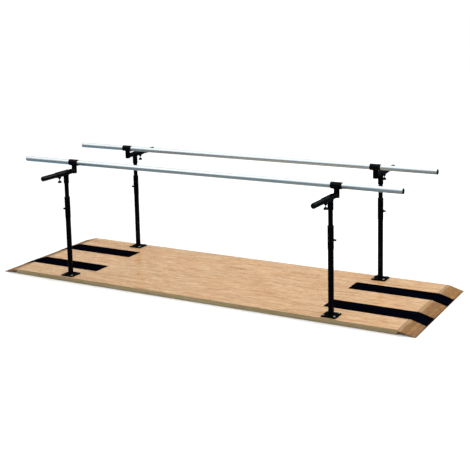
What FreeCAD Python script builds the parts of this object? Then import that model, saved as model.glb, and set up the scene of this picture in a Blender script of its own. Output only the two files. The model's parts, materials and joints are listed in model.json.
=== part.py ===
"""Platform-mounted parallel bars: two handrails on four posts that adjust in height and in width.

Millimetres. The origin is on the floor under the middle of the platform. +X runs along the handrails,
+Y runs across the platform to the far side, and +Z is up.
"""

import FreeCAD, Part
import math
import os

Vector = FreeCAD.Vector

TUBE_EDGE = 1.5             # the chamfer on the ends of sleeves and sockets

# Fits
SLIP = 0.05                 # radial gap of a running fit, and of a tube held in a socket
LOOSE = 0.35                # gap left before a part that moves

# Platform
DECK_HALF_WIDTH = 516.0
DECK_TOP = 32.0
DECK_END_X = 1544.0         # where the deck stops and the ramp board starts
CREST_X = 1561.0            # where the ramp board starts to slope
TOE_X = 1668.0
TOE_HEIGHT = 1.5
LAMINATE = 1.5
PANEL = 18.0
EDGE_BOARD = 18.0
BATTEN_WIDTH = 45.0
BATTEN_X = (0.0, 388.0, 776.0, 1070.0, 1521.0)
RAMP_BOARD = 9.0
HEADER_WIDTH = 14.0
HEADER_INSET = 31.0         # how far the end header stops short of the platform's side

# Grip strips
STRIP_INNER_Y = 136.0
STRIP_OUTER_Y = 295.0
STRIP_END_X = 947.0
STRIP = 1.5
STRIP_TOE_GAP = 3.0

# Posts
POST_X = 1070.0
POST_Y = 446.0
PLATE_HALF = 53.0
PLATE = 8.0
PLATE_TOP = DECK_TOP + PLATE
PLATE_CORNER = 7.0
BOLT_OFFSET = 38.5
BOLT_R = 3.9
BOLT_PLAY = 0.6             # radial, in the plate and the laminate
BOLT_DEPTH = 14.0           # below the deck's top
OUTER_POST_R = 19.05
OUTER_POST_BORE_R = 17.15
OUTER_POST_TOP = 632.0
COLLAR_R = 20.65
COLLAR_LENGTH = 155.0
COLLAR_LIP = 1.2
INNER_POST_R = 15.875
INNER_POST_WALL = 2.0
INNER_POST_BOTTOM = 150.0
INNER_POST_TOP = 795.0
BUSH_DEPTH = 38.0
BUSH_FLANGE = 3.0

# Height adjustment: the posts drop by three holes and rise by eight
HEIGHT_PLUNGER_Z = 541.0
HEIGHT_PITCH = 30.0
HEIGHT_STEPS = range(-3, 9)
HEIGHT_HOLE_R = 3.7
HEIGHT_TRAVEL = 5.0

# Tee heads, arms and saddles
ARM_Z = 817.0
ARM_R = 18.5
ARM_WALL = 2.0
ARM_END_Y = 706.0
ARM_CAP = 6.0
SLEEVE_R = 21.5
SLEEVE_INNER_Y = 422.0
SLEEVE_OUTER_Y = 556.0
SOCKET_R = 19.5
SOCKET_BOTTOM = 737.0
RISER_R = 19.05
RISER_WALL = 3.0
RISER_BOTTOM = 797.0
RAIL_Z = 878.0
RAIL_Y = 346.0
RAIL_R = 19.05
RAIL_WALL = 1.65
RAIL_HALF_LENGTH = 1524.0
RAIL_CAP = 4.0
SADDLE_R = 23.0
SADDLE_HALF_LENGTH = 40.0
SCREW_OFFSET = 30.0
SCREW_R = 3.0

# Width adjustment: the rails move in by six holes and out by two
WIDTH_PLUNGER_Y = 522.0
WIDTH_PITCH = 20.0
WIDTH_STEPS = range(-6, 3)
WIDTH_HOLE_R = 4.0
WIDTH_TRAVEL = 5.0

# Plungers. Their lengths start at the surface of the tube that they index.
HEIGHT_BARREL_R = 6.0
HEIGHT_BARREL_BORE_R = 4.5
HEIGHT_BARREL_START = 0.9
HEIGHT_BARREL_LENGTH = 13.0
HEIGHT_NUT = 16.0              # across its flats
HEIGHT_PIN = {"nose": 3.0, "flange": 4.2, "stem": 2.0, "reach": 17.2}
HEIGHT_KNOB_START = 14.5
HEIGHT_KNOB_R = 7.5
WIDTH_BARREL_R = 9.5
WIDTH_BARREL_BORE_R = 6.5
WIDTH_BARREL_START = 0.6
WIDTH_BARREL_LENGTH = 13.9
WIDTH_NUT = 24.0
WIDTH_PIN = {"nose": 3.5, "flange": 6.0, "stem": 3.2, "reach": 40.0}
WIDTH_KNOB_START = 27.0
WIDTH_KNOB_R = 15.0
BARREL_END = 1.5               # the wall at a barrel's outer end
PIN_NOSE_LENGTH = 2.4
PIN_FLANGE = 1.5
FLANGE_TOP = LOOSE + PIN_NOSE_LENGTH + PIN_FLANGE

SIDES_X = {"left": -1, "right": 1}
SIDES_Y = {"near": -1, "far": 1}


# Shape helpers

def box(low, high):
    size = [b - a for a, b in zip(low, high)]
    return Part.makeBox(*size, Vector(*low))


def cylinder(radius, start, direction, length):
    return Part.makeCylinder(radius, length, Vector(*start), Vector(*direction))


def tube(outer, inner, start, direction, length):
    return cylinder(outer, start, direction, length).cut(cylinder(inner, start, direction, length))


def round_bar(radius, start, direction, length):
    """A cylinder with chamfered ends."""
    bar = cylinder(radius, start, direction, length)
    return bar.makeChamfer(TUBE_EDGE, [e for e in bar.Edges if len(e.Vertexes) == 1])


def placed(shape, origin, direction):
    """Moves a shape drawn along +Z so that it starts at origin and runs along direction."""
    turn = FreeCAD.Rotation(Vector(0, 0, 1), Vector(*direction))
    shape.Placement = FreeCAD.Placement(Vector(*origin), turn)
    return shape


def turned(outline):
    """A solid turned about Z from (radius, height) points. A point given as (mid, end) is an arc's end."""
    at = [p if not isinstance(p[0], tuple) else p[1] for p in outline]
    edges = []
    for i, point in enumerate(outline[1:] + outline[:1], start=1):
        a = Vector(at[i - 1][0], 0, at[i - 1][1])
        b = Vector(at[i % len(at)][0], 0, at[i % len(at)][1])
        if isinstance(point[0], tuple):
            edges.append(Part.Arc(a, Vector(point[0][0], 0, point[0][1]), b).toShape())
        else:
            edges.append(Part.LineSegment(a, b).toShape())
    face = Part.Face(Part.Wire(edges))
    return face.revolve(Vector(0, 0, 0), Vector(0, 0, 1), 360)


def hexagon(across_flats, height, start):
    radius = across_flats / math.sqrt(3)
    corners = [Vector(radius * math.cos(k * math.pi / 3), radius * math.sin(k * math.pi / 3), start)
               for k in range(7)]
    return Part.Face(Part.makePolygon(corners)).extrude(Vector(0, 0, height))


def extruded_across(outline, low_y, high_y):
    """An outline of (x, z) points pulled along Y."""
    points = [Vector(x, low_y, z) for x, z in outline]
    face = Part.Face(Part.makePolygon(points + points[:1]))
    return face.extrude(Vector(0, high_y - low_y, 0))


def upright_edges(shape):
    return [e for e in shape.Edges if len(e.Vertexes) == 2 and abs(e.tangentAt(e.FirstParameter).z) > 0.99]


# Platform

def bolt_places():
    for side_x in SIDES_X.values():
        for side_y in SIDES_Y.values():
            for dx in (-BOLT_OFFSET, BOLT_OFFSET):
                for dy in (-BOLT_OFFSET, BOLT_OFFSET):
                    yield side_x * POST_X + dx, side_y * POST_Y + dy


def drilled(shape, radius, bottom):
    holes = [cylinder(radius, (x, y, bottom), (0, 0, 1), PLATE_TOP) for x, y in bolt_places()]
    return shape.cut(Part.makeCompound(holes))


def deck_laminate():
    low = (-DECK_END_X, -DECK_HALF_WIDTH, DECK_TOP - LAMINATE)
    high = (DECK_END_X, DECK_HALF_WIDTH, DECK_TOP)
    return drilled(box(low, high), BOLT_R + BOLT_PLAY, 0)


def deck_panel():
    half_width = DECK_HALF_WIDTH - EDGE_BOARD
    top = DECK_TOP - LAMINATE
    panel = box((-DECK_END_X, -half_width, top - PANEL), (DECK_END_X, half_width, top))
    return drilled(panel, BOLT_R + SLIP, DECK_TOP - BOLT_DEPTH)


def edge_board(side_y):
    inner = side_y * (DECK_HALF_WIDTH - EDGE_BOARD)
    outer = side_y * DECK_HALF_WIDTH
    return box((-DECK_END_X, min(inner, outer), 0), (DECK_END_X, max(inner, outer), DECK_TOP - LAMINATE))


def cross_battens():
    """The battens under the deck, and the header under each ramp's flat end."""
    half_width = DECK_HALF_WIDTH - EDGE_BOARD
    top = DECK_TOP - LAMINATE - PANEL
    pieces = []
    for x in sorted({side * x for x in BATTEN_X for side in (-1, 1)}):
        low_x = x - BATTEN_WIDTH / 2
        pieces.append(box((low_x, -half_width, 0), (low_x + BATTEN_WIDTH, half_width, top)))
    header_half = DECK_HALF_WIDTH - HEADER_INSET
    header_top = DECK_TOP - RAMP_BOARD
    for low_x in (-DECK_END_X - HEADER_WIDTH, DECK_END_X):
        pieces.append(box((low_x, -header_half, 0), (low_x + HEADER_WIDTH, header_half, header_top)))
    return Part.makeCompound(pieces)


def ramp_slope():
    """The slope of the ramp's top, as a fall per millimetre."""
    return (DECK_TOP - TOE_HEIGHT) / (TOE_X - CREST_X)


def ramp(side_x):
    """A thin board with a flat end on the header and a slope down to the floor, hollow underneath."""
    slope = ramp_slope()
    drop = RAMP_BOARD * math.hypot(1, slope)
    bend_x = CREST_X - (drop - RAMP_BOARD) / slope
    floor_x = CREST_X + (DECK_TOP - drop) / slope
    outline = [
        (DECK_END_X, DECK_TOP),
        (CREST_X, DECK_TOP),
        (TOE_X, TOE_HEIGHT),
        (TOE_X, 0),
        (floor_x, 0),
        (bend_x, DECK_TOP - RAMP_BOARD),
        (DECK_END_X, DECK_TOP - RAMP_BOARD),
    ]
    mirrored = [(side_x * x, z) for x, z in outline]
    return extruded_across(mirrored, -DECK_HALF_WIDTH, DECK_HALF_WIDTH)


def grip_strip(side_x, side_y):
    """A strip in two lengths that meet at the crest, one along the deck and one down the ramp."""
    slope = ramp_slope()
    toe_x = TOE_X - STRIP_TOE_GAP
    toe_z = TOE_HEIGHT + STRIP_TOE_GAP * slope
    lift = STRIP * math.hypot(1, slope)
    crest_x = CREST_X + (lift - STRIP) / slope
    crest = (CREST_X, DECK_TOP)
    crest_top = (crest_x, DECK_TOP + STRIP)
    on_deck = [(STRIP_END_X, DECK_TOP), crest, crest_top, (STRIP_END_X, DECK_TOP + STRIP)]
    on_ramp = [crest, (toe_x, toe_z), (toe_x, toe_z + lift), crest_top]
    edges = sorted((side_y * STRIP_INNER_Y, side_y * STRIP_OUTER_Y))
    lengths = [[(side_x * x, z) for x, z in outline] for outline in (on_deck, on_ramp)]
    return [extruded_across(outline, *edges) for outline in lengths]


# Posts

def base_plate(side_x, side_y):
    """A square plate with rounded corners, four bolt holes and the post's weld bead."""
    x = side_x * POST_X
    y = side_y * POST_Y
    plate = box((x - PLATE_HALF, y - PLATE_HALF, DECK_TOP), (x + PLATE_HALF, y + PLATE_HALF, PLATE_TOP))
    plate = plate.makeFillet(PLATE_CORNER, upright_edges(plate))
    rim = [e for e in plate.Edges if e.BoundBox.ZMin > PLATE_TOP - 0.01]
    plate = plate.makeChamfer(1.0, rim)
    plate = drilled(plate, BOLT_R + BOLT_PLAY, 0)
    bead_height = 5.0
    bead_r = OUTER_POST_R + bead_height
    bead = Part.makeCone(bead_r, OUTER_POST_R + 0.5, bead_height, Vector(x, y, PLATE_TOP))
    bead = bead.cut(cylinder(OUTER_POST_R + SLIP, (x, y, PLATE_TOP), (0, 0, 1), bead_height))
    return plate.fuse(bead).removeSplitter()


def anchor_bolts():
    """Hex lag bolts with their washers, through each plate into the deck."""
    washer_r = 8.5
    washer = 1.6
    head = 5.3
    top = washer + head
    crown = turned([(0, 0), (7.6, 0), (7.6, top - 1.2), (6.3, top), (0, top)])
    bolt = hexagon(13.0, head, washer).common(crown)
    bolt = bolt.fuse(cylinder(washer_r, (0, 0, 0), (0, 0, 1), washer))
    shank = PLATE + BOLT_DEPTH - LAMINATE
    bolt = bolt.fuse(cylinder(BOLT_R, (0, 0, -shank), (0, 0, 1), shank + washer)).removeSplitter()
    return Part.makeCompound([placed(bolt.copy(), (x, y, PLATE_TOP), (0, 0, 1)) for x, y in bolt_places()])


def barrel_hole(side_x, side_y, radius):
    """The drilling for a height plunger, from the outer post's bore outwards."""
    start = (side_x * (POST_X + INNER_POST_R), side_y * POST_Y, HEIGHT_PLUNGER_Z)
    return cylinder(radius, start, (side_x, 0, 0), COLLAR_R)


def outer_post(side_x, side_y):
    start = (side_x * POST_X, side_y * POST_Y, PLATE_TOP)
    post = tube(OUTER_POST_R, OUTER_POST_BORE_R, start, (0, 0, 1), OUTER_POST_TOP - PLATE_TOP)
    return post.cut(barrel_hole(side_x, side_y, HEIGHT_BARREL_R + SLIP))


def post_collar(side_x, side_y):
    """The sleeve that thickens the top of an outer post, with a lip round its top."""
    lip_height = 6.0
    outline = [
        (OUTER_POST_R + SLIP, 0),
        (COLLAR_R - TUBE_EDGE, 0),
        (COLLAR_R, TUBE_EDGE),
        (COLLAR_R, COLLAR_LENGTH - lip_height),
        (COLLAR_R + COLLAR_LIP, COLLAR_LENGTH - lip_height + COLLAR_LIP),
        (COLLAR_R + COLLAR_LIP, COLLAR_LENGTH - TUBE_EDGE),
        (COLLAR_R + COLLAR_LIP - TUBE_EDGE, COLLAR_LENGTH),
        (OUTER_POST_R + SLIP, COLLAR_LENGTH),
    ]
    bottom = (side_x * POST_X, side_y * POST_Y, OUTER_POST_TOP - COLLAR_LENGTH)
    collar = placed(turned(outline), bottom, (0, 0, 1))
    return collar.cut(barrel_hole(side_x, side_y, HEIGHT_BARREL_R + SLIP))


def guide_bushes():
    """Flanged plastic bushes in the tops of the outer posts, which the inner posts run in."""
    flange_r = COLLAR_R - 1.0
    body_r = OUTER_POST_BORE_R - SLIP
    bore_r = INNER_POST_R + SLIP
    outline = [
        (bore_r, -BUSH_DEPTH),
        (body_r, -BUSH_DEPTH),
        (body_r, 0),
        (flange_r, 0),
        (flange_r, BUSH_FLANGE - 1.0),
        (flange_r - 1.0, BUSH_FLANGE),
        (bore_r, BUSH_FLANGE),
    ]
    bushes = []
    for side_x in SIDES_X.values():
        for side_y in SIDES_Y.values():
            top = (side_x * POST_X, side_y * POST_Y, OUTER_POST_TOP)
            bushes.append(placed(turned(outline), top, (0, 0, 1)))
    return Part.makeCompound(bushes)


def inner_post(side_x, side_y):
    """The telescoping tube, with its index holes on the plunger's side."""
    x = side_x * POST_X
    y = side_y * POST_Y
    length = INNER_POST_TOP - INNER_POST_BOTTOM
    post = tube(INNER_POST_R, INNER_POST_R - INNER_POST_WALL, (x, y, INNER_POST_BOTTOM), (0, 0, 1), length)
    holes = []
    for step in HEIGHT_STEPS:
        z = HEIGHT_PLUNGER_Z - step * HEIGHT_PITCH
        holes.append(cylinder(HEIGHT_HOLE_R, (x, y, z), (side_x, 0, 0), COLLAR_R))
    return post.cut(Part.makeCompound(holes))


# Plungers, drawn along +Z with the tube that they index below height 0

def barrel(radius, bore_r, stem_r, start, length, nut_start, nut_flats):
    """A threaded barrel, open towards the tube, with its lock nut against the sleeve."""
    body = turned([
        (bore_r, start),
        (radius, start),
        (radius, start + length - 0.8),
        (radius - 0.8, start + length),
        (stem_r + 0.15, start + length),
        (stem_r + 0.15, start + length - BARREL_END),
        (bore_r, start + length - BARREL_END),
    ])
    nut = hexagon(nut_flats, 3.5, nut_start)
    nut = nut.cut(cylinder(radius - 0.3, (0, 0, 0), (0, 0, 1), start + length))
    return body.fuse(nut).removeSplitter()


def pin(sizes):
    """A plunger's pin: the nose, the flange that its spring bears on, and the stem."""
    return turned([
        (0, LOOSE),
        (sizes["nose"] - 0.6, LOOSE),
        (sizes["nose"], LOOSE + 0.6),
        (sizes["nose"], LOOSE + PIN_NOSE_LENGTH),
        (sizes["flange"], LOOSE + PIN_NOSE_LENGTH),
        (sizes["flange"], FLANGE_TOP),
        (sizes["stem"], FLANGE_TOP),
        (sizes["stem"], sizes["reach"]),
        (0, sizes["reach"]),
    ])


def height_barrel():
    nut_start = COLLAR_R - INNER_POST_R + 0.1
    return barrel(HEIGHT_BARREL_R, HEIGHT_BARREL_BORE_R, HEIGHT_PIN["stem"], HEIGHT_BARREL_START,
                  HEIGHT_BARREL_LENGTH, nut_start, HEIGHT_NUT)


def width_barrel():
    nut_start = SLEEVE_R - ARM_R + 0.1
    return barrel(WIDTH_BARREL_R, WIDTH_BARREL_BORE_R, WIDTH_PIN["stem"], WIDTH_BARREL_START,
                  WIDTH_BARREL_LENGTH, nut_start, WIDTH_NUT)


def height_plunger():
    """The pin and its small pull knob."""
    start = HEIGHT_KNOB_START
    radius = HEIGHT_KNOB_R
    knob = turned([
        (HEIGHT_PIN["stem"] + SLIP, start),
        (4.5, start),
        (4.5, start + 1.2),
        (radius, start + 2.6),
        (radius, start + 6.6),
        ((radius - 0.6, start + 7.9), (radius - 1.9, start + 8.4)),
        (0, start + 8.4),
        (0, HEIGHT_PIN["reach"]),
        (HEIGHT_PIN["stem"] + SLIP, HEIGHT_PIN["reach"]),
    ])
    return Part.makeCompound([pin(HEIGHT_PIN), knob])


def width_plunger():
    """The pin and its mushroom knob."""
    start = WIDTH_KNOB_START
    radius = WIDTH_KNOB_R
    knob = turned([
        (WIDTH_PIN["stem"] + SLIP, start),
        (6.0, start),
        ((radius - 3.4, start + 4.2), (radius - 0.6, start + 12.6)),
        ((radius, start + 14.3), (radius - 0.6, start + 16.0)),
        ((radius - 6.0, start + 18.4), (1.5, start + 19.4)),
        (0, start + 19.4),
        (0, WIDTH_PIN["reach"]),
        (WIDTH_PIN["stem"] + SLIP, WIDTH_PIN["reach"]),
    ])
    return Part.makeCompound([pin(WIDTH_PIN), knob])


def spring(inner, outer, travel, barrel_end):
    """A return spring at its closed length, as one sleeve with a round of wire drawn at each turn.

    It fills the room that is left between the pulled pin's flange and the barrel's end wall.
    """
    turns = 3
    low = FLANGE_TOP + travel + 0.1
    pitch = (barrel_end - BARREL_END - 0.1 - low) / turns
    groove = 0.2
    outside = []
    inside = []
    for k in range(turns):
        start = low + k * pitch
        outside += [(outer - groove, start), (outer, start + pitch / 4), (outer, start + 3 * pitch / 4)]
        inside += [(inner + groove, start), (inner, start + pitch / 4), (inner, start + 3 * pitch / 4)]
    end = low + turns * pitch
    return turned(outside + [(outer - groove, end), (inner + groove, end)] + inside[::-1])


def height_spring():
    inner = HEIGHT_PIN["stem"] + LOOSE
    outer = HEIGHT_BARREL_BORE_R - LOOSE
    return spring(inner, outer, HEIGHT_TRAVEL, HEIGHT_BARREL_START + HEIGHT_BARREL_LENGTH)


def width_spring():
    inner = WIDTH_PIN["stem"] + LOOSE
    outer = WIDTH_BARREL_BORE_R - LOOSE
    return spring(inner, outer, WIDTH_TRAVEL, WIDTH_BARREL_START + WIDTH_BARREL_LENGTH)


def at_height_plunger(shape, side_x, side_y):
    surface = (side_x * (POST_X + INNER_POST_R), side_y * POST_Y, HEIGHT_PLUNGER_Z)
    return placed(shape, surface, (side_x, 0, 0))


def at_width_plunger(shape, side_x, side_y):
    surface = (side_x * POST_X, side_y * WIDTH_PLUNGER_Y, ARM_Z - ARM_R)
    return placed(shape, surface, (0, 0, -1))


def at_every_post(shape):
    return Part.makeCompound([at_height_plunger(shape.copy(), side_x, side_y)
                              for side_x in SIDES_X.values() for side_y in SIDES_Y.values()])


def at_both_heads(shape, side_y):
    return Part.makeCompound([at_width_plunger(shape.copy(), side_x, side_y)
                              for side_x in SIDES_X.values()])


# Tee heads, arms and rails

def tee_head(side_x, side_y):
    """A socket on the inner post, under a sleeve that the arm slides through."""
    x = side_x * POST_X
    foot = (x, side_y * POST_Y, SOCKET_BOTTOM)
    inner_end = (x, side_y * SLEEVE_INNER_Y, ARM_Z)
    height = ARM_Z - SOCKET_BOTTOM
    sleeve_length = SLEEVE_OUTER_Y - SLEEVE_INNER_Y
    sleeve = round_bar(SLEEVE_R, inner_end, (0, side_y, 0), sleeve_length)
    socket = [(0, 0), (SOCKET_R - TUBE_EDGE, 0), (SOCKET_R, TUBE_EDGE), (SOCKET_R, height), (0, height)]
    head = placed(turned(socket), foot, (0, 0, 1)).fuse(sleeve)
    post_bore = cylinder(INNER_POST_R + SLIP, foot, (0, 0, 1), INNER_POST_TOP - SOCKET_BOTTOM)
    arm_bore = cylinder(ARM_R + SLIP, inner_end, (0, side_y, 0), sleeve_length)
    plunger = (x, side_y * WIDTH_PLUNGER_Y, ARM_Z)
    drilling = cylinder(WIDTH_BARREL_R + SLIP, plunger, (0, 0, -1), 2 * SLEEVE_R)
    return head.cut(post_bore).cut(arm_bore).cut(drilling).removeSplitter()


def cross_arm(side_x, side_y):
    """The tube that sets a rail's distance from the posts, coped against the riser."""
    x = side_x * POST_X
    arm = tube(ARM_R, ARM_R - ARM_WALL, (x, side_y * RAIL_Y, ARM_Z), (0, side_y, 0), ARM_END_Y - RAIL_Y)
    arm = arm.cut(cylinder(RISER_R + SLIP, (x, side_y * RAIL_Y, 0), (0, 0, 1), RAIL_Z))
    holes = []
    for step in WIDTH_STEPS:
        y = WIDTH_PLUNGER_Y - step * WIDTH_PITCH
        holes.append(cylinder(WIDTH_HOLE_R, (x, side_y * y, ARM_Z), (0, 0, -1), SLEEVE_R))
    return arm.cut(Part.makeCompound(holes))


def arm_caps(side_y):
    """Domed plugs in the outer ends of the arms."""
    plug_r = ARM_R - ARM_WALL - SLIP
    bore_r = plug_r - 2.0
    outline = [
        (bore_r, -14.0),
        (plug_r, -14.0),
        (plug_r, 0),
        (ARM_R, 0),
        (ARM_R, 1.0),
        ((ARM_R - 1.6, 4.3), (ARM_R - 5.4, ARM_CAP)),
        (0, ARM_CAP),
        (0, -1.0),
        (bore_r, -1.0),
    ]
    ends = [(side_x * POST_X, side_y * ARM_END_Y, ARM_Z) for side_x in SIDES_X.values()]
    return Part.makeCompound([placed(turned(outline), end, (0, side_y, 0)) for end in ends])


def saddle(side_x, side_y):
    """A riser welded under the sleeve that grips the handrail."""
    x = side_x * POST_X
    y = side_y * RAIL_Y
    foot = (x, y, RISER_BOTTOM)
    left_end = (x - SADDLE_HALF_LENGTH, y, RAIL_Z)
    height = RAIL_Z - RISER_BOTTOM
    sleeve = round_bar(SADDLE_R, left_end, (1, 0, 0), 2 * SADDLE_HALF_LENGTH)
    riser = [(0, 0), (RISER_R - TUBE_EDGE, 0), (RISER_R, TUBE_EDGE), (RISER_R, height), (0, height)]
    body = placed(turned(riser), foot, (0, 0, 1)).fuse(sleeve)
    hollow_start = RISER_BOTTOM + RISER_WALL
    hollow_length = RAIL_Z - SADDLE_R - RISER_WALL - hollow_start
    hollow = cylinder(RISER_R - RISER_WALL, (x, y, hollow_start), (0, 0, 1), hollow_length)
    rail_bore = cylinder(RAIL_R + SLIP, left_end, (1, 0, 0), 2 * SADDLE_HALF_LENGTH)
    holes = [cylinder(SCREW_R + SLIP, (x + dx, y, RAIL_Z), (0, 0, -1), 2 * SADDLE_R)
             for dx in (-SCREW_OFFSET, SCREW_OFFSET)]
    return body.cut(hollow).cut(rail_bore).cut(Part.makeCompound(holes)).removeSplitter()


def saddle_screws(side_y):
    """Socket set screws that come up through the saddles and hold the handrail."""
    start = RAIL_R + SLIP
    length = SADDLE_R - RAIL_R + 1.0
    socket = 2.0
    end = start + length
    screw = turned([(0, start), (SCREW_R, start), (SCREW_R, end - 0.5), (SCREW_R - 0.5, end), (0, end)])
    screw = screw.cut(hexagon(3.0, 2 * socket, end - socket))
    places = [(side_x * POST_X + dx, side_y * RAIL_Y, RAIL_Z)
              for side_x in SIDES_X.values() for dx in (-SCREW_OFFSET, SCREW_OFFSET)]
    return Part.makeCompound([placed(screw.copy(), place, (0, 0, -1)) for place in places])


def handrail(side_y):
    half = RAIL_HALF_LENGTH - RAIL_CAP
    return tube(RAIL_R, RAIL_R - RAIL_WALL, (-half, side_y * RAIL_Y, RAIL_Z), (1, 0, 0), 2 * half)


def rail_caps(side_y):
    """Flanged plugs in the ends of a handrail."""
    plug_r = RAIL_R - RAIL_WALL - SLIP
    bore_r = plug_r - 2.0
    outline = [
        (bore_r, -20.0),
        (plug_r, -20.0),
        (plug_r, 0),
        (RAIL_R, 0),
        (RAIL_R, 1.8),
        ((RAIL_R - 0.65, RAIL_CAP - 0.65), (RAIL_R - 2.2, RAIL_CAP)),
        (0, RAIL_CAP),
        (0, -2.0),
        (bore_r, -2.0),
    ]
    half = RAIL_HALF_LENGTH - RAIL_CAP
    caps = [placed(turned(outline), (side_x * half, side_y * RAIL_Y, RAIL_Z), (side_x, 0, 0))
            for side_x in SIDES_X.values()]
    return Part.makeCompound(caps)


def all_parts():
    """Every sub-part, by node name."""
    parts = {
        "deck_panel": deck_panel(),
        "deck_laminate": deck_laminate(),
        "cross_battens": cross_battens(),
        "anchor_bolts": anchor_bolts(),
        "guide_bushes": guide_bushes(),
        "height_plunger_barrels": at_every_post(height_barrel()),
        "height_plunger_springs": at_every_post(height_spring()),
        "edge_boards": Part.makeCompound([edge_board(side_y) for side_y in SIDES_Y.values()]),
    }
    for name_x, side_x in SIDES_X.items():
        parts[f"ramp_{name_x}"] = ramp(side_x)
        strips = [length for side_y in SIDES_Y.values() for length in grip_strip(side_x, side_y)]
        parts[f"grip_strips_{name_x}"] = Part.makeCompound(strips)
    for name_y, side_y in SIDES_Y.items():
        parts[f"handrail_{name_y}"] = handrail(side_y)
        parts[f"rail_caps_{name_y}"] = rail_caps(side_y)
        parts[f"arm_caps_{name_y}"] = arm_caps(side_y)
        parts[f"saddle_screws_{name_y}"] = saddle_screws(side_y)
        parts[f"width_plunger_barrels_{name_y}"] = at_both_heads(width_barrel(), side_y)
        parts[f"width_plunger_springs_{name_y}"] = at_both_heads(width_spring(), side_y)
        for name_x, side_x in SIDES_X.items():
            corner = f"{name_x}_{name_y}"
            parts[f"base_plate_{corner}"] = base_plate(side_x, side_y)
            parts[f"outer_post_{corner}"] = outer_post(side_x, side_y)
            parts[f"post_collar_{corner}"] = post_collar(side_x, side_y)
            parts[f"inner_post_{corner}"] = inner_post(side_x, side_y)
            parts[f"tee_head_{corner}"] = tee_head(side_x, side_y)
            parts[f"cross_arm_{corner}"] = cross_arm(side_x, side_y)
            parts[f"saddle_{corner}"] = saddle(side_x, side_y)
            parts[f"height_plunger_{corner}"] = at_height_plunger(height_plunger(), side_x, side_y)
            parts[f"width_plunger_{corner}"] = at_width_plunger(width_plunger(), side_x, side_y)
    return parts


os.makedirs("parts", exist_ok=True)
for node, shape in sorted(all_parts().items()):
    solids = shape.Solids
    volume = sum(solid.Volume for solid in solids) / 1000
    print(f"{node}: {len(solids)} solids, {volume:.1f} cm3, valid {shape.isValid()}")
    shape.exportStep(f"parts/{node}.step")
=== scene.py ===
"""The looks of the platform-mounted parallel bars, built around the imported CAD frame. Units are metres."""

import json
import math

import bmesh
import bpy
from mathutils import Matrix, Vector


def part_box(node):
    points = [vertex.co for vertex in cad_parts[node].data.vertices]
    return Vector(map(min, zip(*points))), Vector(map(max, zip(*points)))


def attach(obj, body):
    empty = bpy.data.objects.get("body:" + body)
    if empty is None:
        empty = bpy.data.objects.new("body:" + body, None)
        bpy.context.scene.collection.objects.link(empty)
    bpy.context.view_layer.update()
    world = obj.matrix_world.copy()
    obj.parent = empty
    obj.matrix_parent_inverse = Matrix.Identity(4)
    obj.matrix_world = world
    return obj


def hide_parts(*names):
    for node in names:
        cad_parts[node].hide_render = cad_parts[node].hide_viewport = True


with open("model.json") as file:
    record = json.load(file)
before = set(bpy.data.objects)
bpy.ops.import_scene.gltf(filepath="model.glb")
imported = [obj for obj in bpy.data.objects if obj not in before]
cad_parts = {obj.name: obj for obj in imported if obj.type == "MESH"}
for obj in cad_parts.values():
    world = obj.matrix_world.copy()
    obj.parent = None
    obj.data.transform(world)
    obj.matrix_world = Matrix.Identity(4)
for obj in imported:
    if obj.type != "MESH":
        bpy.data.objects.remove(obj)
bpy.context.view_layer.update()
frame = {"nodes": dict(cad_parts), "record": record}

MM = 0.001
SIDES_X = {"left": -1, "right": 1}
SIDES_Y = {"near": -1, "far": 1}
CORNERS = [(name_x, name_y) for name_x in SIDES_X for name_y in SIDES_Y]

# Landmarks of the platform, for the ramps' crest and toe bands, the deck's border and the plates' top
RAMP_RUN = 107 * MM
TOE_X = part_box("ramp_right")[1].x
CREST_X = TOE_X - RAMP_RUN
EDGE_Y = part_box("deck_laminate")[1].y
PLATE_TOP_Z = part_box("base_plate_left_near")[1].z


# Camera

CAMERA_PLACE = (3.543, -6.067, 2.171)
CAMERA_HEADING = math.radians(-29.37)     # from +Y, turning to the right
CAMERA_TILT = math.radians(-9.06)         # above the horizon
CAMERA_ROLL = math.radians(-1.21)
CAMERA_LENS = 74.95
CAMERA_SHIFT_Y = -0.2


def add_camera():
    """The camera looks along forward, with its right and up turned by the roll."""
    heading = Vector((math.sin(CAMERA_HEADING), math.cos(CAMERA_HEADING), 0))
    forward = heading * math.cos(CAMERA_TILT) + Vector((0, 0, math.sin(CAMERA_TILT)))
    level = Vector((math.cos(CAMERA_HEADING), -math.sin(CAMERA_HEADING), 0))
    above = level.cross(forward)
    right = level * math.cos(CAMERA_ROLL) + above * math.sin(CAMERA_ROLL)
    up = above * math.cos(CAMERA_ROLL) - level * math.sin(CAMERA_ROLL)
    data = bpy.data.cameras.new("camera")
    data.lens = CAMERA_LENS
    data.sensor_width = 36.0
    data.shift_y = CAMERA_SHIFT_Y
    data.clip_end = 200.0
    camera = bpy.data.objects.new("camera", data)
    turn = Matrix((right, up, -forward)).transposed().to_4x4()
    camera.matrix_world = Matrix.Translation(CAMERA_PLACE) @ turn
    bpy.context.scene.collection.objects.link(camera)
    bpy.context.scene.camera = camera


# Node helpers

X, Y, Z = 0, 1, 2


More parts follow.
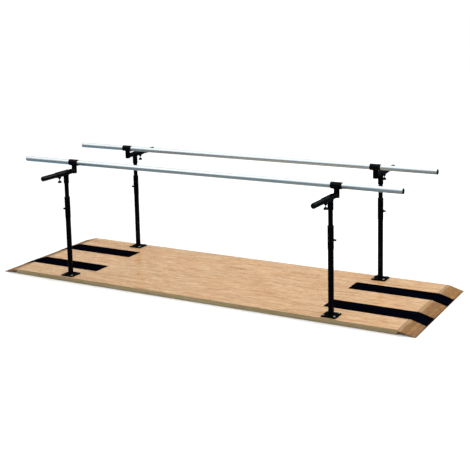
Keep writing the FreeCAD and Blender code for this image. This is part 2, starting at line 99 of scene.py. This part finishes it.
class Shader:
    """A material's node tree, with short calls for the nodes used here."""

    def __init__(self, name):
        self.material = bpy.data.materials.new(name)
        self.material.use_nodes = True
        self.nodes = self.material.node_tree.nodes
        self.links = self.material.node_tree.links
        self.surface = self.nodes["Principled BSDF"]
        self.place = self.nodes.new("ShaderNodeTexCoord").outputs["Object"]

    def set(self, **values):
        for name, value in values.items():
            self.surface.inputs[name.replace("_", " ")].default_value = value

    def feed(self, name, output):
        self.links.new(output, self.surface.inputs[name])

    def fed(self, name):
        """The output that already feeds an input of the surface, to build on."""
        return self.surface.inputs[name].links[0].from_socket

    def stretched(self, scale):
        """The object's coordinates, scaled differently along each axis."""
        node = self.nodes.new("ShaderNodeMapping")
        node.inputs["Scale"].default_value = scale
        self.links.new(self.place, node.inputs["Vector"])
        return node.outputs["Vector"]

    def noise(self, scale, stretch=(1, 1, 1), detail=3.0, roughness=0.5, distortion=0.0):
        node = self.nodes.new("ShaderNodeTexNoise")
        node.inputs["Scale"].default_value = scale
        node.inputs["Detail"].default_value = detail
        node.inputs["Roughness"].default_value = roughness
        node.inputs["Distortion"].default_value = distortion
        self.links.new(self.stretched(stretch), node.inputs["Vector"])
        return node.outputs["Fac"]

    def cells(self, scale):
        node = self.nodes.new("ShaderNodeTexVoronoi")
        node.inputs["Scale"].default_value = scale
        self.links.new(self.place, node.inputs["Vector"])
        return node.outputs["Distance"]

    def rings(self, scale, stretch, distortion):
        """Bands of growth rings, bent by noise."""
        node = self.nodes.new("ShaderNodeTexWave")
        node.wave_type = "RINGS"
        node.rings_direction = "X"
        node.inputs["Scale"].default_value = scale
        node.inputs["Distortion"].default_value = distortion
        node.inputs["Detail"].default_value = 3.0
        node.inputs["Detail Scale"].default_value = 1.4
        self.links.new(self.stretched(stretch), node.inputs["Vector"])
        return node.outputs["Fac"]

    def ramp(self, value, stops):
        """A colour or grey for each position between 0 and 1."""
        node = self.nodes.new("ShaderNodeValToRGB")
        points = node.color_ramp.elements
        while len(points) < len(stops):
            points.new(0.5)
        for point, (position, colour) in zip(points, stops):
            grey = (colour, colour, colour) if isinstance(colour, (int, float)) else colour
            point.position = position
            point.color = (*grey, 1.0)
        self.links.new(value, node.inputs["Fac"])
        return node.outputs["Color"]

    def blend(self, mode, factor, a, b):
        """Mixes two colours. The factor and b may be numbers, colours or outputs."""
        node = self.nodes.new("ShaderNodeMix")
        node.data_type = "RGBA"
        node.blend_type = mode
        for socket, value in ((node.inputs[0], factor), (node.inputs[6], a), (node.inputs[7], b)):
            if isinstance(value, bpy.types.NodeSocket):
                self.links.new(value, socket)
            elif isinstance(value, tuple):
                socket.default_value = (*value, 1.0)
            else:
                socket.default_value = value
        return node.outputs[2]

    def darken(self, colour, strength, value, low, high, tint):
        """Multiplies the colour by a tint where the value is low, fading out up to high."""
        return self.blend("MULTIPLY", strength, colour, self.ramp(value, [(low, tint), (high, 1.0)]))

    def tinted(self, colour, where, tint):
        """Multiplies the colour by a tint, by as much as where says."""
        return self.blend("MULTIPLY", where, colour, tint)

    def along(self, axis):
        """One coordinate of the object, in metres."""
        node = self.nodes.new("ShaderNodeSeparateXYZ")
        self.links.new(self.place, node.inputs[0])
        return node.outputs[axis]

    def facing_up(self):
        """The surface normal's height: 1 on a level top, 0 on an upright face, -1 underneath."""
        source = self.nodes.new("ShaderNodeTexCoord")
        node = self.nodes.new("ShaderNodeSeparateXYZ")
        self.links.new(source.outputs["Normal"], node.inputs[0])
        return node.outputs[Z]

    def facing_down(self, low, high):
        """0 on tops and upright faces, and 1 underneath, with a smooth step from low to high."""
        return self.band(self.math("MULTIPLY", self.facing_up(), -1.0), low, high)

    def math(self, operation, *values):
        node = self.nodes.new("ShaderNodeMath")
        node.operation = operation
        for socket, value in zip(node.inputs, values):
            if isinstance(value, bpy.types.NodeSocket):
                self.links.new(value, socket)
            else:
                socket.default_value = value
        return node.outputs[0]

    def band(self, value, low, high):
        """0 below low, 1 above high, and a smooth step between."""
        node = self.nodes.new("ShaderNodeMapRange")
        node.interpolation_type = "SMOOTHSTEP"
        node.inputs["From Min"].default_value = low
        node.inputs["From Max"].default_value = high
        self.links.new(value, node.inputs["Value"])
        return node.outputs["Result"]

    def bump(self, height, distance):
        node = self.nodes.new("ShaderNodeBump")
        node.inputs["Distance"].default_value = distance
        self.links.new(height, node.inputs["Height"])
        self.feed("Normal", node.outputs["Normal"])


# Materials

def oak_laminate():
    """Oak-pattern laminate: long soft streaks, cathedral figure, dark pores, and a semi-gloss face."""
    s = Shader("oak_laminate")
    streaks = s.noise(1.0, (3.2, 24.0, 1.0), detail=6.0, roughness=0.66, distortion=1.4)
    colour = s.ramp(streaks, [
        (0.32, (0.495, 0.258, 0.092)),
        (0.45, (0.648, 0.397, 0.190)),
        (0.56, (0.720, 0.476, 0.258)),
        (0.70, (0.795, 0.582, 0.368)),
    ])
    figure = s.rings(1.0, (1.6, 11.0, 1.0), 13.0)
    colour = s.darken(colour, 0.5, figure, 0.0, 0.4, (0.76, 0.60, 0.46))
    dashes = s.noise(1.0, (15.0, 110.0, 1.0), detail=4.0, roughness=0.7)
    colour = s.darken(colour, 0.8, dashes, 0.36, 0.52, (0.66, 0.46, 0.30))
    pores = s.noise(1.0, (42.0, 1300.0, 1.0), detail=2.0)
    colour = s.darken(colour, 0.5, pores, 0.30, 0.40, (0.45, 0.32, 0.22))
    patches = s.noise(2.2, (1.0, 1.6, 1.0), detail=2.0)
    colour = s.tinted(colour, s.band(patches, 0.35, 0.75), (1.02, 0.97, 0.91))
    border = s.band(s.math("ABSOLUTE", s.along(Y)), EDGE_Y - 0.012, EDGE_Y - 0.006)
    colour = s.tinted(colour, border, (0.82, 0.80, 0.80))
    top = s.band(s.facing_up(), 0.5, 0.9)
    colour = s.blend("MIX", top, (0.20, 0.115, 0.055), colour)
    s.feed("Base Color", colour)
    s.feed("Roughness", s.ramp(s.noise(7.0, (1.0, 2.5, 1.0), detail=4.0), [(0.3, 0.22), (0.7, 0.32)]))
    s.set(Specular_IOR_Level=0.45)
    s.bump(s.blend("MULTIPLY", 0.6, dashes, pores), 0.00008)
    return s.material


def bare_wood(name, dark, light, along_x, roughness=0.6):
    """The shader of unfinished or stained wood, with its grain along X or along Y."""
    s = Shader(name)
    wide = (1.6, 34.0, 34.0) if along_x else (34.0, 1.6, 34.0)
    fine = (14.0, 420.0, 420.0) if along_x else (420.0, 14.0, 420.0)
    grain = s.noise(1.0, wide, detail=6.0, roughness=0.6, distortion=0.6)
    middle = tuple((a + b) / 2 for a, b in zip(dark, light))
    colour = s.ramp(grain, [(0.30, dark), (0.52, middle), (0.72, light)])
    lines = s.noise(1.0, fine)
    colour = s.darken(colour, 0.45, lines, 0.34, 0.52, (0.58, 0.48, 0.40))
    s.feed("Base Color", colour)
    s.feed("Roughness", s.ramp(grain, [(0.2, roughness - 0.08), (0.8, roughness + 0.08)]))
    s.set(Specular_IOR_Level=0.12)
    s.bump(lines, 0.0003)
    return s


def plywood():
    """The platform's boards and battens."""
    s = bare_wood("plywood", (0.22, 0.140, 0.075), (0.38, 0.260, 0.150), along_x=True, roughness=0.7)
    return s.material


def edge_wood():
    """The lacquered edge board: olive-brown, with painted shade making it darker and bluer towards the floor.
    """
    s = bare_wood("edge_wood", (0.20, 0.155, 0.075), (0.34, 0.275, 0.155), along_x=True, roughness=0.5)
    colour = s.fed("Base Color")
    waver = s.math("MULTIPLY", s.noise(9.0, (1.0, 1.0, 4.0), detail=4.0), 0.008)
    height = s.math("ADD", s.along(Z), waver)
    # Painted shade at the floor: the board turns darker and bluer within about 14 mm of the floor.
    floor_shaded = s.tinted(colour, 1.0, (0.72, 0.74, 0.82))
    s.feed("Base Color", s.blend("MIX", s.band(height, 0.003, 0.014), floor_shaded, colour))
    return s.material


def ramp_wood():
    """Stained ramp board: redder than the deck, pale at its crest, dark at its toe, and near-black underneath
    with painted shade.
    """
    s = bare_wood("ramp_wood", (0.190, 0.082, 0.016), (0.350, 0.178, 0.048), along_x=False, roughness=0.5)
    colour = s.fed("Base Color")
    stain = s.noise(38.0, (1.0, 0.5, 1.0), detail=5.0, roughness=0.65)
    colour = s.darken(colour, 0.8, stain, 0.36, 0.60, (0.66, 0.60, 0.52))
    waver = s.math("MULTIPLY", s.noise(16.0), -0.022)
    reach = s.math("ADD", s.math("ABSOLUTE", s.along(X)), waver)
    past_crest = s.band(reach, CREST_X - 0.010, CREST_X + 0.006)
    pale = s.blend("MIX", 0.65, colour, (0.42, 0.275, 0.150))
    colour = s.blend("MIX", past_crest, pale, colour)
    near_toe = s.band(reach, TOE_X - 0.030, TOE_X - 0.012)
    colour = s.tinted(colour, near_toe, (0.72, 0.70, 0.72))
    # Painted shade: faces turned downwards go near-black.
    colour = s.blend("MIX", s.facing_down(0.1, 0.4), colour, (0.012, 0.010, 0.009))
    s.feed("Base Color", colour)
    return s.material


def grip_rubber():
    """Mineral-coated grip strip: near-black with a navy cast and fine grit."""
    s = Shader("grip_rubber")
    grit = s.noise(1100.0, detail=2.0)
    wear = s.noise(6.0, (1.0, 3.0, 1.0), detail=4.0)
    colour = s.ramp(wear, [(0.3, (0.0004, 0.0006, 0.0018)), (0.7, (0.0012, 0.0018, 0.0044))])
    sparkle = s.ramp(s.cells(900.0), [(0.0, (0.10, 0.11, 0.13)), (0.09, 0.0)])
    s.feed("Base Color", s.blend("ADD", 0.25, colour, sparkle))
    s.set(Roughness=0.9, Specular_IOR_Level=0.0)
    s.bump(grit, 0.0005)
    return s.material


def black_paint():
    """Gloss black powder coat: orange peel, faint rubbing marks, and duller down at the base plates."""
    s = Shader("black_paint")
    peel = s.noise(420.0, detail=2.0)
    rub = s.noise(30.0, (1.0, 1.0, 0.25), detail=6.0, roughness=0.7)
    s.feed("Base Color", s.ramp(rub, [(0.35, (0.0003, 0.0005, 0.0009)), (0.75, (0.0009, 0.0012, 0.0018))]))
    s.feed("Roughness", s.ramp(rub, [(0.3, 0.20), (0.7, 0.34)]))
    above_plates = s.band(s.along(Z), PLATE_TOP_Z + 0.005, PLATE_TOP_Z + 0.040)
    s.feed("Coat Weight", s.ramp(above_plates, [(0.0, 0.06), (1.0, 0.18)]))
    s.set(Specular_IOR_Level=0.0, Coat_Roughness=0.08)
    s.bump(peel, 0.00005)
    return s.material


def stainless():
    """Satin stainless tube, polished lengthwise, with faint hand marks and a painted bluish reflection on its
    underside.
    """
    s = Shader("stainless")
    brush = s.noise(1.0, (18.0, 2600.0, 2600.0), detail=2.0)
    hands = s.noise(5.0, detail=5.0, roughness=0.65)
    metal = s.ramp(hands, [(0.3, (0.80, 0.83, 0.84)), (0.7, (0.88, 0.90, 0.91))])
    # Painted reflection: the underside's colour is tinted slate blue.
    s.feed("Base Color", s.blend("MIX", s.facing_down(0.0, 0.5), metal, (0.46, 0.64, 0.80)))
    s.feed("Roughness", s.ramp(hands, [(0.3, 0.30), (0.7, 0.38)]))
    s.set(Metallic=1.0)
    s.bump(brush, 0.00002)
    return s.material


def bright_steel():
    """Zinc-bright steel with a mottled passivation."""
    s = Shader("bright_steel")
    mottle = s.noise(260.0, detail=4.0)
    s.feed("Base Color", s.ramp(mottle, [(0.3, (0.46, 0.47, 0.49)), (0.7, (0.64, 0.65, 0.66))]))
    s.feed("Roughness", s.ramp(mottle, [(0.3, 0.14), (0.7, 0.30)]))
    s.set(Metallic=1.0)
    s.bump(mottle, 0.00002)
    return s.material


def moulded(name, roughness, grain):
    """Black moulded plastic or nylon."""
    s = Shader(name)
    texture = s.noise(grain)
    s.feed("Base Color", s.ramp(texture, [(0.3, (0.0010, 0.0012, 0.0015)), (0.7, (0.0030, 0.0032, 0.0036))]))
    s.feed("Roughness", s.ramp(texture, [(0.3, roughness - 0.06), (0.7, roughness + 0.06)]))
    s.set(Specular_IOR_Level=0.15)
    s.bump(texture, 0.00005)
    return s.material


def dress_cad_nodes():
    """Gives every CAD node the procedural material of its record slot."""
    makers = {
        "oak_laminate": oak_laminate,
        "plywood": plywood,
        "edge_wood": edge_wood,
        "ramp_wood": ramp_wood,
        "grip_rubber": grip_rubber,
        "black_paint": black_paint,
        "stainless": stainless,
        "bright_steel": bright_steel,
        "black_plastic": lambda: moulded("black_plastic", 0.42, 700.0),
        "knob_plastic": lambda: moulded("knob_plastic", 0.25, 500.0),
        "black_nylon": lambda: moulded("black_nylon", 0.55, 900.0),
    }
    materials = {slot: make() for slot, make in makers.items()}
    for part in frame["record"]["subparts"]:
        node = frame["nodes"][part["node"]]
        for slot in node.material_slots:
            slot.material = materials[part["material_slot"]]
    return materials


# Pieces

def mesh_object(name, mesh, material):
    """An object made from a bmesh."""
    data = bpy.data.meshes.new(name)
    mesh.to_mesh(data)
    mesh.free()
    data.materials.append(material)
    piece = bpy.data.objects.new(name, data)
    bpy.context.scene.collection.objects.link(piece)
    return piece


def mesh_piece(name, mesh, materials, slot, body):
    """An object with the material of its record slot and the body it rides on."""
    bmesh.ops.recalc_face_normals(mesh, faces=mesh.faces)
    piece = mesh_object(name, mesh, materials[slot])
    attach(piece, body)
    return piece


SHARP_ANGLE = math.radians(35)


def smooth(mesh):
    """Smooth faces, with creases kept where two faces turn by more than the sharp angle."""
    for face in mesh.faces:
        face.smooth = True
    for edge in mesh.edges:
        if len(edge.link_faces) == 2 and edge.calc_face_angle(0) > SHARP_ANGLE:
            edge.smooth = False


def lathe(outline, steps, centre, axis, flute=None):
    """A mesh turned from (radius, height) points. flute(angle, radius) returns the radius to use."""
    mesh = bmesh.new()
    turn = Vector((0, 0, 1)).rotation_difference(Vector(axis)).to_matrix()
    rings = []
    for radius, height in outline:
        ring = []
        for k in range(steps if radius else 1):
            angle = 2 * math.pi * k / steps
            r = flute(angle, radius) if flute else radius
            place = Vector((r * math.cos(angle), r * math.sin(angle), height))
            ring.append(mesh.verts.new(centre + turn @ place))
        rings.append(ring)
    for a, b in zip(rings, rings[1:]):
        for k in range(steps):
            n = (k + 1) % steps
            corners = [a[k % len(a)], a[n % len(a)], b[n % len(b)], b[k % len(b)]]
            mesh.faces.new([v for i, v in enumerate(corners) if v not in corners[:i]])
    smooth(mesh)
    return mesh


# Plunger outlines: (radius, height) in millimetres, with the height measured from the pin's nose
HEIGHT_PIN = [(0, 0), (2.4, 0), (3.0, 0.6), (3.0, 2.4), (4.2, 2.4), (4.2, 3.9),
              (2.0, 3.9), (2.0, 16.8), (0, 16.8)]
HEIGHT_KNOB = [(2.05, 14.15), (4.5, 14.15), (4.5, 15.35), (6.2, 16.1), (7.1, 16.5), (7.5, 17.1), (7.5, 20.4),
               (7.3, 21.3), (6.7, 22.1), (5.6, 22.55), (2.9, 22.55), (2.6, 22.2), (0, 22.2)]
WIDTH_PIN = [(0, 0), (2.9, 0), (3.5, 0.6), (3.5, 2.4), (6.0, 2.4), (6.0, 3.9),
             (3.2, 3.9), (3.2, 39.6), (0, 39.6)]
WIDTH_KNOB = [(3.25, 26.65), (5.6, 26.65), (6.0, 26.8), (8.0, 27.6), (10.1, 29.2), (11.8, 31.3), (13.2, 34.2),
              (14.1, 37.4), (14.4, 39.3), (14.85, 40.3), (15.0, 41.2), (14.85, 42.1), (14.3, 42.7),
              (12.0, 43.9), (8.5, 45.0), (4.0, 45.8), (0, 46.0)]
PIN_STEPS = 32
KNOB_STEPS = 96
RIBS = 12
RIB_DEPTH = 0.045            # as a part of the radius
RIM_R = 6.0 * MM             # the ribs are outside this radius


def ribbed(angle, radius):
    """The shallow grooves round a height knob's rim."""
    if radius < RIM_R:
        return radius
    return radius * (1 - RIB_DEPTH * max(0.0, math.cos(RIBS * angle)) ** 4)


def add_plunger(materials, node, nose, axis, pin, knob, flute):
    """A bright pin and a black knob, in the place of a plunger's CAD node."""
    pieces = (
        ("pin", pin, PIN_STEPS, None, "bright_steel"),
        ("knob", knob, KNOB_STEPS, flute, "knob_plastic"),
    )
    for kind, outline, steps, grooves, slot in pieces:
        mesh = lathe([(r * MM, h * MM) for r, h in outline], steps, nose, axis, grooves)
        piece = mesh_piece(f"{node}_{kind}", mesh, materials, slot, node)
        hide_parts(node)


def add_plunger_looks(materials):
    """All eight plungers: the height knobs point to the platform's ends, the width knobs down."""
    for name_x, name_y in CORNERS:
        side_x = SIDES_X[name_x]
        node = f"height_plunger_{name_x}_{name_y}"
        low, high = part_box(node)
        middle = (low + high) / 2
        nose = Vector((high.x if side_x < 0 else low.x, middle.y, middle.z))
        add_plunger(materials, node, nose, (side_x, 0, 0), HEIGHT_PIN, HEIGHT_KNOB, ribbed)

        node = f"width_plunger_{name_x}_{name_y}"
        low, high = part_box(node)
        middle = (low + high) / 2
        nose = Vector((middle.x, middle.y, high.z))
        add_plunger(materials, node, nose, (0, 0, -1), WIDTH_PIN, WIDTH_KNOB, None)


RISER_R = 19.05 * MM
SOCKET_STEP = 2.0 * MM       # how much thinner a head's socket is than its sleeve
BEAD_R = 1.7 * MM
BEAD_SIDES = 8
BEAD_STEPS = 72
BEAD_RIPPLES = 24
BEAD_SWELL = 0.16            # as a part of the bead's radius


def ring_points(place):
    """Points round a closed curve. place(angle) returns one of them."""
    return [Vector(place(2 * math.pi * k / BEAD_STEPS)) for k in range(BEAD_STEPS)]


def bead(route):
    """A closed weld bead along a ring of points, swelling in small ripples."""
    mesh = bmesh.new()
    count = len(route)
    middle = sum(route, Vector()) / count
    rings = []
    for i, point in enumerate(route):
        ahead = (route[(i + 1) % count] - route[i - 1]).normalized()
        outward = point - middle
        outward = (outward - ahead * outward.dot(ahead)).normalized()
        across = ahead.cross(outward)
        r = BEAD_R * (1 + BEAD_SWELL * math.sin(BEAD_RIPPLES * 2 * math.pi * i / count))
        ring = []
        for k in range(BEAD_SIDES):
            t = 2 * math.pi * k / BEAD_SIDES
            ring.append(mesh.verts.new(point + (outward * math.cos(t) + across * math.sin(t)) * r))
        rings.append(ring)
    for a, b in zip(rings, rings[1:] + rings[:1]):
        for k in range(BEAD_SIDES):
            n = (k + 1) % BEAD_SIDES
            mesh.faces.new((a[k], a[n], b[n], b[k]))
    for face in mesh.faces:
        face.smooth = True
    return mesh


def add_weld_beads(materials):
    """The beads where the sockets meet their sleeves, the arms their risers and the risers their saddles."""
    for name_x, name_y in CORNERS:
        side_y = SIDES_Y[name_y]
        head_low, head_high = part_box(f"tee_head_{name_x}_{name_y}")
        post_low, post_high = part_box(f"inner_post_{name_x}_{name_y}")
        arm_low, arm_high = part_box(f"cross_arm_{name_x}_{name_y}")
        saddle_low, saddle_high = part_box(f"saddle_{name_x}_{name_y}")
        x = (head_low.x + head_high.x) / 2
        post_y = (post_low.y + post_high.y) / 2
        rail_y = (saddle_low.y + saddle_high.y) / 2
        arm_z = (arm_low.z + arm_high.z) / 2
        sleeve_r = (head_high.x - head_low.x) / 2
        arm_r = (arm_high.z - arm_low.z) / 2
        saddle_r = (saddle_high.y - saddle_low.y) / 2
        rail_z = saddle_high.z - saddle_r
        socket_r = sleeve_r - SOCKET_STEP

        def socket_joint(t):
            across = socket_r * math.cos(t)
            drop = math.sqrt(sleeve_r ** 2 - across ** 2)
            return (x + across, post_y + socket_r * math.sin(t), arm_z - drop)

        def riser_joint(t):
            across = RISER_R * math.sin(t)
            drop = math.sqrt(saddle_r ** 2 - across ** 2)
            return (x + RISER_R * math.cos(t), rail_y + across, rail_z - drop)

        def arm_joint(t):
            across = arm_r * math.cos(t)
            reach = math.sqrt(RISER_R ** 2 - across ** 2)
            return (x + across, rail_y + side_y * reach, arm_z + arm_r * math.sin(t))

        beads = (
            ("socket", socket_joint, f"{name_y}_heads"),
            ("riser", riser_joint, f"{name_y}_rail"),
            ("arm", arm_joint, f"{name_y}_rail"),
        )
        for kind, place, body in beads:
            name = f"{kind}_weld_{name_x}_{name_y}"
            mesh_piece(name, bead(ring_points(place)), materials, "black_paint", body)


# Studio

FLOOR_RADIUS = 60.0
WORLD_STRENGTH = 1.08
DOME_RADIUS = 50.0


def add_white_world():
    """An even white sky, which lights everything softly and shows behind the floor's edge."""
    world = bpy.data.worlds.new("studio")
    world.use_nodes = True
    background = world.node_tree.nodes["Background"]
    background.inputs["Color"].default_value = (1.0, 1.0, 1.0, 1.0)
    background.inputs["Strength"].default_value = WORLD_STRENGTH
    bpy.context.scene.world = world


def dome_glow():
    """Slate, with a dark belt just below the horizon, and white high up."""
    s = Shader("reflection_dome")
    height = s.math("DIVIDE", s.along(Z), DOME_RADIUS)      # -1 at the bottom, 1 at the top
    s.feed("Emission Color", s.ramp(s.math("MULTIPLY_ADD", height, 0.5, 0.5), [
        (0.0, (0.16, 0.20, 0.22)),
        (0.27, (0.24, 0.30, 0.33)),
        (0.33, (0.09, 0.11, 0.12)),
        (0.48, (0.09, 0.11, 0.12)),
        (0.54, (0.25, 0.31, 0.34)),
        (0.71, (0.26, 0.32, 0.35)),
        (0.86, (0.97, 1.0, 1.0)),
    ]))
    s.set(Base_Color=(0, 0, 0, 1), Specular_IOR_Level=0.0, Emission_Strength=1.25)
    return s.material


def add_reflection_dome():
    """A sphere that only reflections see."""
    mesh = bmesh.new()
    bmesh.ops.create_uvsphere(mesh, u_segments=48, v_segments=32, radius=DOME_RADIUS)
    dome = mesh_object("reflection_dome", mesh, dome_glow())
    dome.visible_camera = False
    dome.visible_diffuse = False
    dome.visible_transmission = False
    dome.visible_shadow = False


def floor_paper():
    """White paper with a faint mottle."""
    s = Shader("floor_paper")
    s.feed("Base Color", s.ramp(s.noise(1.5), [(0.3, 0.93), (0.7, 0.95)]))
    s.set(Roughness=1.0, Specular_IOR_Level=0.0)
    return s.material


def add_floor():
    """A wide sheet of white paper, which keeps out of reflections so that they show the dome."""
    mesh = bmesh.new()
    bmesh.ops.create_circle(mesh, cap_ends=True, radius=FLOOR_RADIUS, segments=128)
    floor = mesh_object("floor", mesh, floor_paper())
    floor.visible_glossy = False


def add_light(name, place, aim, size, power):
    """A soft rectangular light at a place, turned towards its aim."""
    data = bpy.data.lights.new(name, "AREA")
    data.shape = "RECTANGLE"
    data.size, data.size_y = size
    data.energy = power
    light = bpy.data.objects.new(name, data)
    direction = Vector(aim) - Vector(place)
    light.matrix_world = Matrix.Translation(place) @ direction.to_track_quat("-Z", "Y").to_matrix().to_4x4()
    bpy.context.scene.collection.objects.link(light)


def add_studio():
    """White paper under an even white sky, a key light behind the platform and a weak fill in front."""
    add_white_world()
    add_reflection_dome()
    add_floor()
    add_light("key_softbox", (2.6, 3.2, 4.0), (0.7, 0.0, 0.0), (3.0, 2.0), 110.0)
    add_light("fill_softbox", (-3.0, -3.5, 4.0), (0.0, 0.0, 0.5), (2.5, 2.0), 12.0)
    bpy.context.scene.view_settings.view_transform = "Standard"


add_camera()
add_studio()
materials = dress_cad_nodes()
add_plunger_looks(materials)
add_weld_beads(materials)
